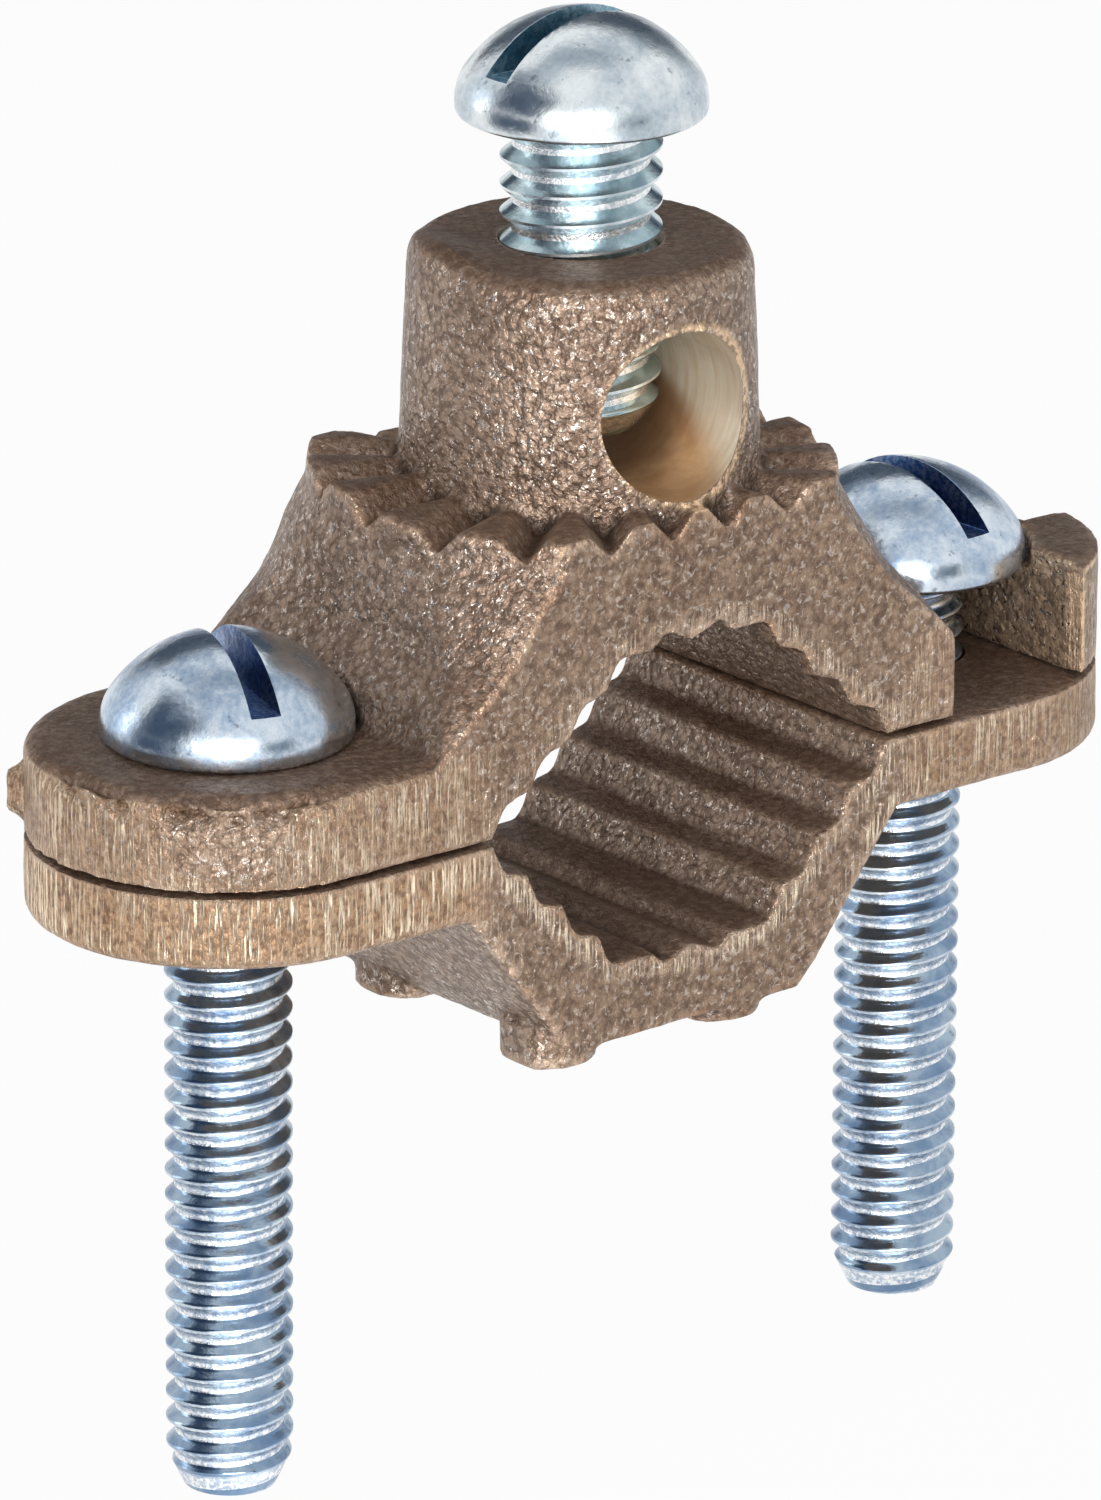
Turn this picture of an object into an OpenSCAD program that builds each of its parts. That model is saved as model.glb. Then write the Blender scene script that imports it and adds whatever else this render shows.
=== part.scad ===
// Grounding clamp for a water pipe: two serrated castings drawn together by two screws,
// with a lug on top whose screw pinches the ground wire.
// Origin: midway between the clamp screws at the split between the castings.
// X runs along the ears, Y along the pipe and Z up along the screws.

/* [Castings] */
// Distance between the two clamp screws
screw_span = 42.4; // [40:0.2:50]
// Width of both castings along the pipe
casting_w = 19.6; // [18:0.2:24]
// Thickness of the upper ears
upper_ear_t = 4.6; // [3.6:0.1:5.4]
// Thickness of the lower ears
lower_ear_t = 3.9; // [3:0.1:4.6]
// Gap between the closed castings at the split
split_gap = 0.12; // [0.06:0.02:0.4]
// Radius of the ears' outer edges
ear_edge_r = 0.7; // [0.3:0.1:1.2]

/* [Pipe opening] */
// Width of the opening at the split
opening_w = 24.6; // [22:0.2:26]
// Offset of the opening from the middle between the screws
opening_shift = -0.4; // [-0.8:0.1:0.8]
// Width of the flat at the top of the opening
upper_flat_w = 9.1; // [8:0.1:10]
// Width of the flat at the bottom of the opening
lower_flat_w = 9.9; // [8:0.1:10]
// Height of the opening above the split
upper_opening_h = 7.4; // [6.4:0.1:8.4]
// Depth of the opening below the split
lower_opening_h = 7.75; // [6.4:0.05:8.4]
// Teeth on each slope of the opening
slope_teeth = 3; // [2:1:4]
// How far a tooth's steep side leans
tooth_lean = 0.75; // [0.2:0.05:0.9]
// Rise of a tooth's land in the upper casting
upper_land_rise = 0.5; // [0.2:0.05:1]
// Fall of a tooth's land in the lower casting
lower_land_fall = 0.35; // [0.1:0.05:0.8]
// Depth of the two grooves in the flat
flat_groove = 0.7; // [0.4:0.1:1]
// Distance from the middle of the flat to a groove
flat_groove_x = 1.7; // [1.4:0.1:2.4]
// Width of a groove's outer side
flat_groove_w = 0.7; // [0.4:0.1:1.2]

/* [Shoulder and crown] */
// Diameter of the round crown under the lug
crown_d = 25.8; // [24:0.2:28]
// Height of the crown's top above the split
crown_z = 14.1; // [13:0.1:16]
// Height of the crown's upright rim
crown_rim = 1.4; // [1.3:0.1:2.4]
// Width of the shoulder where it meets the ears
shoulder_w = 32.2; // [30:0.2:34]
// Height of the shoulder's waist above the split
waist_z = 8.4; // [7:0.1:10]
// Diameter of the shoulder's waist
waist_d = 30.6; // [29:0.2:33]
// Width of the shoulder's waist
waist_w = 27; // [26.4:0.2:29]
// Number of radial grooves in the crown
crown_grooves = 18; // [12:1:24]
// Depth of a crown groove
crown_groove_depth = 1.25; // [0.6:0.05:1.5]
// Width of a crown groove at its mouth
crown_groove_w = 2.4; // [1.4:0.1:2.8]

/* [Wire lug] */
// Offset of the lug from the middle between the screws
lug_shift = 0.45; // [-0.5:0.05:0.5]
// Diameter of the lug at its base
lug_base_d = 17.7; // [16:0.1:19]
// Diameter of the lug under its rounded top edge
lug_top_d = 16.7; // [15:0.1:18]
// Height of the lug above the crown
lug_h = 10.9; // [10.4:0.1:14]
// Radius of the lug's rounded top edge
lug_edge_r = 1.1; // [0.4:0.1:1.4]
// Diameter of the hole for the ground wire
wire_hole_d = 8.3; // [8.3:0.1:9]
// Height of the wire hole's axis above the crown
wire_hole_up = 4.25; // [3.85:0.05:4.4]
// Turn of the wire hole about the lug's axis
wire_hole_turn = -4; // [-10:1:10]

/* [Open slot in the right ear] */
// Width of the slot that lets the right screw swing out
slot_w = 9; // [8:0.1:10]
// Offset of the slot from the screw's axis
slot_shift = -0.3; // [-0.6:0.1:0.6]
// Rise of the hook's nose above the ear
nose_rise = 1.1; // [0.6:0.1:1.6]
// Distance from the screw's axis to the back of the nose
nose_back = 1.2; // [0:0.1:3]
// Clearance between a screw head and the castings beside it
head_room = 0.3; // [0.2:0.05:0.6]

/* [Lower casting] */
// Depth of the trough's underside below the split
trough_z = 11.9; // [11:0.1:13.5]
// Width of the trough under the ears
trough_w = 26.6; // [25.4:0.2:28]
// Offset of the trough from the middle between the screws
trough_shift = -0.7; // [-1.2:0.1:1]
// Width of the trough's flat underside
trough_flat_w = 14.2; // [13:0.2:17]
// Height of the bevel along the underside
trough_bevel = 1.2; // [0.6:0.1:1.8]
// Length of a foot along the pipe
foot_l = 4.8; // [4:0.2:8]
// Width of a foot
foot_w = 4.2; // [4.2:0.2:5.4]
// Distance from the middle to the left feet
left_foot_x = 7.5; // [6:0.1:8]
// Distance from the middle to the right feet
right_foot_x = 2.9; // [2.4:0.1:5]
// Height of a foot
foot_h = 0.8; // [0.4:0.1:1.4]
// Corner radius of a foot
foot_r = 2; // [0.4:0.1:2]
// Distance of the back feet from the back face
back_foot_inset = 2.6; // [0:0.1:4]
// Distance of the back feet to the right of the front ones
back_foot_shift = 0.9; // [0:0.1:2]

/* [Clamp screws] */
// Thread diameter of a clamp screw
clamp_thread_d = 6.3; // [5.6:0.05:6.6]
// Length of a clamp screw under its head
clamp_screw_l = 38.1; // [30:0.1:50]
// Clearance round the left screw in the upper ear
shank_clearance = 0.35; // [0.2:0.05:0.6]
// Turn of the left screw's slot about its axis
left_slot_turn = 72; // [0:1:180]
// Turn of the right screw's slot about its axis
right_slot_turn = 94; // [0:1:180]

/* [Wire screw] */
// Thread diameter of the wire screw
wire_thread_d = 7.85; // [6.2:0.05:8.2]
// Length of the wire screw under its head
wire_screw_l = 15.45; // [14:0.05:15.6]
// Height of the wire screw's head above the lug
wire_head_lift = 6.45; // [5:0.05:8]
// Turn of the wire screw's slot about its axis
wire_slot_turn = 0; // [0:1:180]

/* [Screw heads and threads] */
// Diameter of a screw head
head_d = 12.2; // [11:0.1:13]
// Height of a screw head
head_h = 5.1; // [4.4:0.1:5.4]
// Height of a head's upright rim
head_rim = 0.65; // [0.45:0.05:1.2]
// Radius of a head's shoulder
head_shoulder_r = 2.6; // [1.5:0.1:3]
// Bevel under a head's rim
head_bevel = 0.4; // [0.1:0.1:0.6]
// Width of the driver slot
driver_slot_w = 1.5; // [1:0.1:2]
// Depth of the driver slot
driver_slot_depth = 2.6; // [1.5:0.1:2.8]
// Length of the bevel at a screw's tip
tip_bevel = 1.5; // [0.6:0.1:2]
// Running clearance of a thread in its tapped hole
thread_clearance = 0.04; // [0.02:0.01:0.1]
// Gap under a seated head
seat_gap = 0.05; // [0.02:0.01:0.1]

/* [Hidden] */
$fn = 96;
bronze = [0.42, 0.31, 0.23];
zinc = [0.74, 0.78, 0.82];
over = 1;
ear_r = casting_w / 2;
screw_x = screw_span / 2;
head_r = head_d / 2;
slot_x = screw_x + slot_shift;
crown_foot_z = crown_z - crown_rim;
lug_top_z = crown_z + lug_h;
wire_hole_z = crown_z + wire_hole_up;
wire_head_z = lug_top_z + wire_head_lift;
clamp_head_z = upper_ear_t + seat_gap;
nose_z = upper_ear_t + nose_rise;
jaw_top_z = -split_gap;
jaw_ear_z = jaw_top_z - lower_ear_t;

// One side of the opening from the split to its flat: steep tooth sides joined by lands
function tooth_steps(h, flat_w, land_rise) =
    let (land = (opening_w / 2 - flat_w / 2 - (slope_teeth + 1) * tooth_lean) / slope_teeth,
         rise = (h - slope_teeth * land_rise) / (slope_teeth + 1))
    [for (i = [0:slope_teeth])
        let (x = opening_w / 2 - i * (land + tooth_lean), z = i * (rise + land_rise))
        each [[x, z], [x - tooth_lean, z + rise]]];

// Half of the opening: its steps, then a groove and half of the middle tooth
function half_opening(h, flat_w, land_rise) =
    concat(tooth_steps(h, flat_w, land_rise),
           [[flat_groove_x + flat_groove_w, h], [flat_groove_x, h + flat_groove], [0, h]]);

function mirrored(points) = [for (i = [len(points) - 2:-1:0]) [-points[i].x, points[i].y]];

module opening_outline(h, flat_w, land_rise) {
    half = half_opening(h, flat_w, land_rise);
    translate([opening_shift, 0])
        polygon(concat([[opening_w / 2, -over]], half, mirrored(half), [[-opening_w / 2, -over]]));
}

// Extrudes an outline drawn in X and Z along the pipe
module along_pipe(length) {
    rotate([90, 0, 0])
        linear_extrude(height = length, center = true)
            children();
}

// Half section of an ear, with its outer top edge rounded
module ear_section(thickness) {
    edge_x = ear_r - ear_edge_r;
    edge_z = thickness - ear_edge_r;
    union() {
        square([edge_x, thickness]);
        square([ear_r, edge_z]);
        translate([edge_x, edge_z])
            circle(r = ear_edge_r);
    }
}

// Ear plate from the middle to a round end about the screw on the given side
module ear_plate(side, thickness) {
    translate([side * screw_x, 0, 0])
        rotate_extrude()
            ear_section(thickness);
    translate([side > 0 ? 0 : -screw_x, 0, 0])
        rotate([90, 0, 90])
            linear_extrude(height = screw_x)
                union() {
                    ear_section(thickness);
                    mirror([1, 0])
                        ear_section(thickness);
                }
}

// Slice of the shoulder: a disc cut off flat on its four sides
module shoulder_slice(diameter, width, bottom_z, top_z) {
    intersection() {
        translate([0, 0, bottom_z])
            cylinder(d = diameter, h = top_z - bottom_z);
        translate([-width / 2, -ear_r, bottom_z])
            cube([width, casting_w, top_z - bottom_z]);
    }
}

// Shoulder: a block on the ears drawn in to a waist and up to the round crown
module shoulder() {
    hull() {
        translate([-shoulder_w / 2, -ear_r, 0])
            cube([shoulder_w, casting_w, upper_ear_t]);
        shoulder_slice(waist_d, waist_w, 0, waist_z);
    }
    hull() {
        shoulder_slice(waist_d, waist_w, 0, waist_z);
        shoulder_slice(crown_d, crown_d, 0, crown_foot_z);
    }
}

// Round crown cut off flat at the front and back, with V grooves running out from the lug
module crown() {
    difference() {
        intersection() {
            translate([0, 0, crown_foot_z - over])
                cylinder(d = crown_d, h = crown_rim + over);
            translate([-crown_d / 2, -ear_r, 0])
                cube([crown_d, casting_w, crown_z]);
        }
        for (i = [0:crown_grooves - 1])
            rotate([0, 0, i * 360 / crown_grooves])
                crown_groove();
    }
}

// One groove, from inside the lug's wall to past the crown's edge, its sides carried on above the crown
module crown_groove() {
    start = lug_base_d / 2 - crown_groove_w / 2;
    rim_x = crown_groove_w / 2 * (crown_groove_depth + over) / crown_groove_depth;
    translate([start, 0, crown_z])
        rotate([90, 0, 90])
            linear_extrude(height = crown_d / 2 + over - start)
                polygon([[-rim_x, over], [0, -crown_groove_depth], [rim_x, over]]);
}

// Tapered lug with a rounded top edge
module lug() {
    edge_x = lug_top_d / 2 - lug_edge_r;
    edge_z = lug_top_z - lug_edge_r;
    rotate_extrude()
        union() {
            polygon([[0, crown_foot_z], [lug_base_d / 2, crown_foot_z], [lug_top_d / 2, edge_z],
                     [edge_x, edge_z], [edge_x, lug_top_z], [0, lug_top_z]]);
            translate([edge_x, edge_z])
                intersection() {
                    circle(r = lug_edge_r);
                    square(lug_edge_r);
                }
        }
}

// Slot for the right screw, open to the front
module swing_slot(height) {
    translate([slot_x, 0, -over]) {
        cylinder(d = slot_w, h = height + 2 * over);
        translate([-slot_w / 2, -ear_r - over, 0])
            cube([slot_w, ear_r + over, height + 2 * over]);
    }
}

// Nose of the hook outside the slot, raised in front of the head
module hook_nose() {
    intersection() {
        translate([screw_x, 0, 0])
            cylinder(r = ear_r, h = nose_z);
        translate([slot_x, -ear_r, 0])
            cube([screw_x + ear_r - slot_x, ear_r - nose_back, nose_z]);
    }
}

// Room for a screw head above the ear
module head_clearance(side) {
    translate([side * screw_x, 0, upper_ear_t])
        cylinder(r = head_r + head_room, h = head_h);
}

module hub_casting() {
    color(bronze)
        difference() {
            union() {
                ear_plate(-1, upper_ear_t);
                ear_plate(1, upper_ear_t);
                shoulder();
                crown();
                translate([lug_shift, 0, 0])
                    lug();
                hook_nose();
            }
            along_pipe(casting_w + 2 * over)
                opening_outline(upper_opening_h, upper_flat_w, upper_land_rise);
            swing_slot(nose_z);
            head_clearance(-1);
            head_clearance(1);
            translate([-screw_x, 0, -over])
                cylinder(d = clamp_thread_d + 2 * shank_clearance, h = upper_ear_t + 2 * over);
            translate([lug_shift, 0, wire_hole_z]) {
                rotate([90, 0, wire_hole_turn])
                    cylinder(d = wire_hole_d, h = casting_w, center = true);
                cylinder(d = wire_thread_d + 2 * thread_clearance, h = lug_top_z - wire_hole_z + over);
            }
        }
}

// Cross section of the trough under the lower ears
module trough_outline() {
    knee_x = trough_flat_w / 2 + trough_bevel;
    knee_z = -trough_z + trough_bevel;
    translate([trough_shift, 0])
        polygon([[-trough_w / 2, jaw_top_z], [trough_w / 2, jaw_top_z], [trough_w / 2, jaw_ear_z],
                 [knee_x, knee_z], [trough_flat_w / 2, -trough_z], [-trough_flat_w / 2, -trough_z],
                 [-knee_x, knee_z], [-trough_w / 2, jaw_ear_z]]);
}

// Foot on the underside at the front, rounded at its corners
module foot() {
    hull()
        for (x = [-1, 1] * (foot_w / 2 - foot_r), y = [foot_r, foot_l - foot_r])
            translate([x, y - ear_r, -trough_z - foot_h])
                cylinder(r = foot_r, h = foot_h + trough_bevel, $fn = 32);
}

module lower_jaw() {
    color(bronze)
        difference() {
            union() {
                translate([0, 0, jaw_top_z])
                    mirror([0, 0, 1]) {
                        ear_plate(-1, lower_ear_t);
                        ear_plate(1, lower_ear_t);
                    }
                along_pipe(casting_w)
                    trough_outline();
                for (x = [-left_foot_x, right_foot_x], back = [0, 1])
                    mirror([0, back, 0])
                        translate([x + back * back_foot_shift, back * back_foot_inset, 0])
                            foot();
            }
            mirror([0, 0, 1])
                along_pipe(casting_w + 2 * over)
                    opening_outline(lower_opening_h, lower_flat_w, lower_land_fall);
            for (side = [-1, 1])
                translate([side * screw_x, 0, jaw_ear_z - over])
                    cylinder(d = clamp_thread_d + 2 * thread_clearance, h = lower_ear_t + 2 * over);
        }
}

// Half section of a domed head on Z = 0: an upright rim, a round shoulder and a flatter crown that meets it smoothly
module head_section() {
    shoulder_x = head_r - head_shoulder_r;
    dome_h = head_h - head_rim;
    crown_r = (shoulder_x * shoulder_x + dome_h * dome_h - head_shoulder_r * head_shoulder_r)
        / (2 * (dome_h - head_shoulder_r));
    crown_drop = head_h - crown_r;
    union() {
        polygon([[0, 0], [head_r - head_bevel, 0], [head_r, head_bevel], [head_r, head_rim], [0, head_rim]]);
        intersection() {
            translate([shoulder_x, head_rim])
                circle(r = head_shoulder_r);
            translate([shoulder_x, head_rim])
                square(head_shoulder_r);
        }
        intersection() {
            translate([0, crown_drop])
                circle(r = crown_r);
            polygon([[0, head_rim], [shoulder_x, head_rim], [2 * shoulder_x, 2 * head_rim - crown_drop],
                     [2 * shoulder_x, head_h + over], [0, head_h + over]]);
        }
    }
}

// Domed head with a driver slot
module screw_head(slot_turn) {
    difference() {
        rotate_extrude()
            head_section();
        rotate([0, 0, slot_turn])
            translate([-head_r - over, -driver_slot_w / 2, head_h - driver_slot_depth])
                cube([head_d + 2 * over, driver_slot_w, driver_slot_depth + over]);
    }
}

// Slotted screw whose head stands on Z = 0, with a bevelled tip
module slotted_screw(thread_d, length, slot_turn) {
    screw_head(slot_turn);
    translate([0, 0, tip_bevel - length])
        cylinder(d = thread_d, h = length - tip_bevel);
    translate([0, 0, -length])
        cylinder(r1 = thread_d / 2 - tip_bevel / 2, r2 = thread_d / 2, h = tip_bevel);
}

module left_clamp_screw() {
    color(zinc)
        translate([-screw_x, 0, clamp_head_z])
            slotted_screw(clamp_thread_d, clamp_screw_l, left_slot_turn);
}

module right_clamp_screw() {
    color(zinc)
        translate([screw_x, 0, clamp_head_z])
            slotted_screw(clamp_thread_d, clamp_screw_l, right_slot_turn);
}

module wire_screw() {
    color(zinc)
        translate([lug_shift, 0, wire_head_z])
            slotted_screw(wire_thread_d, wire_screw_l, wire_slot_turn);
}

hub_casting();
lower_jaw();
left_clamp_screw();
right_clamp_screw();
wire_screw();
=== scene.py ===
import math

import bmesh
import bpy
from mathutils import Matrix, Vector


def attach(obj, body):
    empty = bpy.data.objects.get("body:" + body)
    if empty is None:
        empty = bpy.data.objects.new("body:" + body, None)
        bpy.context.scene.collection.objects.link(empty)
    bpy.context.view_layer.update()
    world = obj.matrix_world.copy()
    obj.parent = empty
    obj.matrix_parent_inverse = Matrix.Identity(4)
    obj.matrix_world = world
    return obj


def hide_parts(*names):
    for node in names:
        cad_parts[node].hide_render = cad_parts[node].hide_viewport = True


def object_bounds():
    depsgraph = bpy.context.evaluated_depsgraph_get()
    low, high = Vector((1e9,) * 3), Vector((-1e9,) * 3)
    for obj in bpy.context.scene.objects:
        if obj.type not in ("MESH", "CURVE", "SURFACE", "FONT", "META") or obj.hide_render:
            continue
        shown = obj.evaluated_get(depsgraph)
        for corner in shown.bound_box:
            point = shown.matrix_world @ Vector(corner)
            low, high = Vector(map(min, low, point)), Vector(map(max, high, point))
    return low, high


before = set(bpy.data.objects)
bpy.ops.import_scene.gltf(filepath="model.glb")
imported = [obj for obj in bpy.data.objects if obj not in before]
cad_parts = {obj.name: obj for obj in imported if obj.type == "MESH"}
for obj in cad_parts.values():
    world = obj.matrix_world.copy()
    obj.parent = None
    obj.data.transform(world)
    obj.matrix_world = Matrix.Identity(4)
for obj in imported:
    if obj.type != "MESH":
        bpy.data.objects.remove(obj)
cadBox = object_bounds()
print("packed frame loaded")

mm = 0.001
screwX = 21.2                # mm from the middle to each clamp screw
lugX = 0.45                  # mm from the middle to the lug and its screw
scene = bpy.context.scene
scene.view_settings.view_transform = "Standard"


# Small helpers for node trees

def place(tree, kind, inputs=None, **settings):
    node = tree.nodes.new(kind)
    for name, value in settings.items():
        setattr(node, name, value)
    for key, value in (inputs or {}).items():
        feed(tree, node.inputs[key], value)
    return node


def feed(tree, socket, value):
    if isinstance(value, bpy.types.NodeSocket):
        tree.links.new(value, socket)
    else:
        socket.default_value = value


def calc(tree, operation, *values):
    node = place(tree, "ShaderNodeMath", operation=operation)
    for socket, value in zip(node.inputs, values):
        feed(tree, socket, value)
    return node.outputs[0]


def chain(tree, operation, first, others):
    for value in others:
        first = calc(tree, operation, first, value)
    return first


def product(tree, first, *others):
    return chain(tree, "MULTIPLY", first, others)


def total(tree, first, *others):
    return chain(tree, "ADD", first, others)


def largest(tree, first, *others):
    return chain(tree, "MAXIMUM", first, others)


def less(tree, first, second):
    return calc(tree, "SUBTRACT", first, second)


def absolute(tree, value):
    return calc(tree, "ABSOLUTE", value)


def hypotenuse(tree, first, second):
    return calc(tree, "SQRT", total(tree, product(tree, first, first), product(tree, second, second)))


def vectorCalc(tree, operation, *values):
    node = place(tree, "ShaderNodeVectorMath", operation=operation)
    for socket, value in zip(node.inputs, values):
        feed(tree, socket, value)
    return node.outputs["Value" if operation in ("DOT_PRODUCT", "LENGTH") else "Vector"]


def stretchedLength(tree, vector, scale):
    return vectorCalc(tree, "LENGTH", vectorCalc(tree, "MULTIPLY", vector, scale))


def split(tree, vector):
    return place(tree, "ShaderNodeSeparateXYZ", {0: vector}).outputs


def join(tree, **axes):
    return place(tree, "ShaderNodeCombineXYZ", axes).outputs[0]


def ramp(tree, value, low, high, bottom=0.0, top=1.0, smooth=True):
    node = place(tree, "ShaderNodeMapRange", {
        "Value": value, "From Min": low, "From Max": high, "To Min": bottom, "To Max": top})
    node.interpolation_type = "SMOOTHSTEP" if smooth else "LINEAR"
    return node.outputs["Result"]


def blendColor(tree, amount, first, second):
    node = place(tree, "ShaderNodeMix", {"Factor": amount}, data_type="RGBA")
    for socket, tone in ((node.inputs[6], first), (node.inputs[7], second)):
        feed(tree, socket, tone if isinstance(tone, bpy.types.NodeSocket) else (*tone, 1.0))
    return node.outputs[2]


def tinted(tree, base, mask, share, tone):
    return blendColor(tree, product(tree, mask, share), base, tone)


def noise(tree, coords, scale, detail=2.0, roughness=0.5, distortion=0.0):
    node = place(tree, "ShaderNodeTexNoise", {
        "Vector": coords, "Scale": scale, "Detail": detail,
        "Roughness": roughness, "Distortion": distortion})
    return node.outputs[0]


def noiseOfSize(tree, coords, size, *shape):
    return noise(tree, coords, calc(tree, "DIVIDE", 1.0, size), *shape)


def stretch(tree, coords, scale):
    return place(tree, "ShaderNodeMapping", {"Vector": coords, "Scale": scale}).outputs[0]


def readMask(tree, name):
    return place(tree, "ShaderNodeAttribute", attribute_name=name).outputs["Fac"]


def storeMasks(tree, geometry, masks, domain):
    for name, value in masks.items():
        store = place(tree, "GeometryNodeStoreNamedAttribute", {
            "Geometry": geometry, "Name": name, "Value": value}, data_type="FLOAT", domain=domain)
        geometry = store.outputs[0]
    return geometry


def blurred(tree, value, passes, kind):
    node = place(tree, "GeometryNodeBlurAttribute", {"Iterations": passes}, data_type=kind)
    feed(tree, next(s for s in node.inputs if s.enabled and s.name == "Value"), value)
    return next(s for s in node.outputs if s.enabled)


def dress(tree, geometry, material):
    whole = place(tree, "GeometryNodeRealizeInstances", {"Geometry": geometry})
    return place(tree, "GeometryNodeSetMaterial", {
        "Geometry": whole.outputs[0], "Material": material}).outputs[0]


def newTree(name, kind, takes, gives):
    tree = bpy.data.node_groups.new(name, kind)
    for way, sockets in (("INPUT", takes), ("OUTPUT", gives)):
        for socket, labels in sockets.items():
            for label in labels:
                tree.interface.new_socket(label, in_out=way, socket_type="NodeSocket" + socket)
    return tree, tree.nodes.new("NodeGroupInput").outputs, tree.nodes.new("NodeGroupOutput").inputs


def addTree(obj, tree, values):
    modifier = obj.modifiers.new(tree.name, "NODES")
    modifier.node_group = tree
    for item in tree.interface.items_tree:
        if item.in_out == "INPUT" and item.name in values:
            modifier[item.identifier] = values[item.name]


# Small helpers for meshes and objects

def plainMesh(obj):
    graph = bpy.context.evaluated_depsgraph_get()
    mesh = bpy.data.meshes.new_from_object(
        obj.evaluated_get(graph), preserve_all_data_layers=True, depsgraph=graph)
    obj.modifiers.clear()
    return mesh


def toMesh(bm, name, *materials):
    mesh = bpy.data.meshes.new(name)
    bm.to_mesh(mesh)
    bm.free()
    for material in materials:
        mesh.materials.append(material)
    return mesh


def newObject(name, data):
    obj = bpy.data.objects.new(name, data)
    scene.collection.objects.link(obj)
    return obj


# The camera stands where the photograph was taken from

photoCamera = {
    "place": (-383.4, -460.6, 206.3),   # mm from the pipe's centre
    "yaw": 39.68,
    "pitch": 19.06,
    "roll": 0.30,
    "lens": 313.3,
    "sensor": 36.0,
    "clip": (0.01, 50.0),               # m
}


def setCamera(values):
    data = bpy.data.cameras.new("photoCamera")
    data.sensor_fit = "AUTO"
    data.sensor_width = values["sensor"]
    data.lens = values["lens"]
    data.clip_start, data.clip_end = values["clip"]
    obj = newObject("photoCamera", data)
    turn = (Matrix.Rotation(math.radians(-values["yaw"]), 4, "Z")
            @ Matrix.Rotation(math.radians(90 - values["pitch"]), 4, "X")
            @ Matrix.Rotation(math.radians(values["roll"]), 4, "Z"))
    obj.matrix_world = Matrix.Translation(Vector(values["place"]) * mm) @ turn
    scene.camera = obj


setCamera(photoCamera)
print("camera set")


# Studio: white floor, white surround, soft lamps and dark walls

studio = {
    "floorDrop": 7.0,        # mm under the lowest point, clear of the jaw when it is let down
    "floorSize": 6.0,        # m
    "floorTone": 0.92,
    "floorGlow": 0.95,
    "pool": 0.8,             # brighter floor before the part, seen only in metal
    "poolReach": (0.03, 0.40),
    "poolSpread": (0.65, 0.25),
    "fill": 0.30,            # the surround's light on rough surfaces
    # Lamps: side and up in degrees from the camera, distance, width and height in m,
    # radiance, colour, whether they light matte surfaces, whether metal shows them
    "lamps": {
        "frontLamp": (-5, 4, 0.85, 0.80, 0.66, 2.6, (1.0, 0.99, 0.97), True, True),
        "gleam": (3, 12, 0.84, 0.50, 0.40, 5.0, (1.0, 0.99, 0.97), False, True),
        "rightLamp": (66, 46, 0.80, 0.60, 0.50, 1.2, (0.97, 0.99, 1.0), True, False),
        "leftLamp": (-106, 8, 0.80, 0.18, 0.50, 1.6, (0.95, 0.98, 1.0), True, True),
        "leftFill": (-24, 26, 0.90, 0.60, 0.60, 2.8, (1.0, 0.98, 0.95), True, False),
    },
    # Panels, seen only in metal: side, up, distance, width, height, colour, soft share of the edge
    "panels": {
        "leftPanel": (-66, 34, 0.95, 1.15, 1.05, (0.06, 0.09, 0.14), 0.45),
        "lowLeftPanel": (-66, -4, 0.20, 0.22, 0.15, (0.07, 0.10, 0.15), 0.4),
        "lowRightPanel": (46, 4, 0.40, 0.24, 0.22, (0.17, 0.22, 0.26), 0.5),
        "skyPanel": (180, 86, 0.90, 1.10, 0.42, (0.36, 0.41, 0.46), 0.6),
        "backPanel": (180, 30, 1.00, 1.70, 0.90, (0.07, 0.09, 0.12), 0.35),
    },
    "panelSteps": 24,
}


def facing(side, up, distance):
    yaw = math.radians(-photoCamera["yaw"] + side)
    lift = math.radians(up)
    out = Vector((math.sin(yaw) * math.cos(lift), -math.cos(yaw) * math.cos(lift), math.sin(lift)))
    return Matrix.Translation(out * distance) @ out.to_track_quat("Z", "Y").to_matrix().to_4x4()


def bareMaterial(name):
    material = bpy.data.materials.new(name)
    material.use_nodes = True
    material.node_tree.nodes.clear()
    return material, material.node_tree


def seenRays(tree):
    rays = place(tree, "ShaderNodeLightPath").outputs
    return rays, largest(tree, rays["Is Camera Ray"], rays["Is Glossy Ray"], rays["Is Transmission Ray"])


def mixSurfaces(tree, share, first, second):
    mixed = place(tree, "ShaderNodeMixShader", {0: share, 1: first.outputs[0], 2: second.outputs[0]})
    place(tree, "ShaderNodeOutputMaterial", {"Surface": mixed.outputs[0]})


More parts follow.
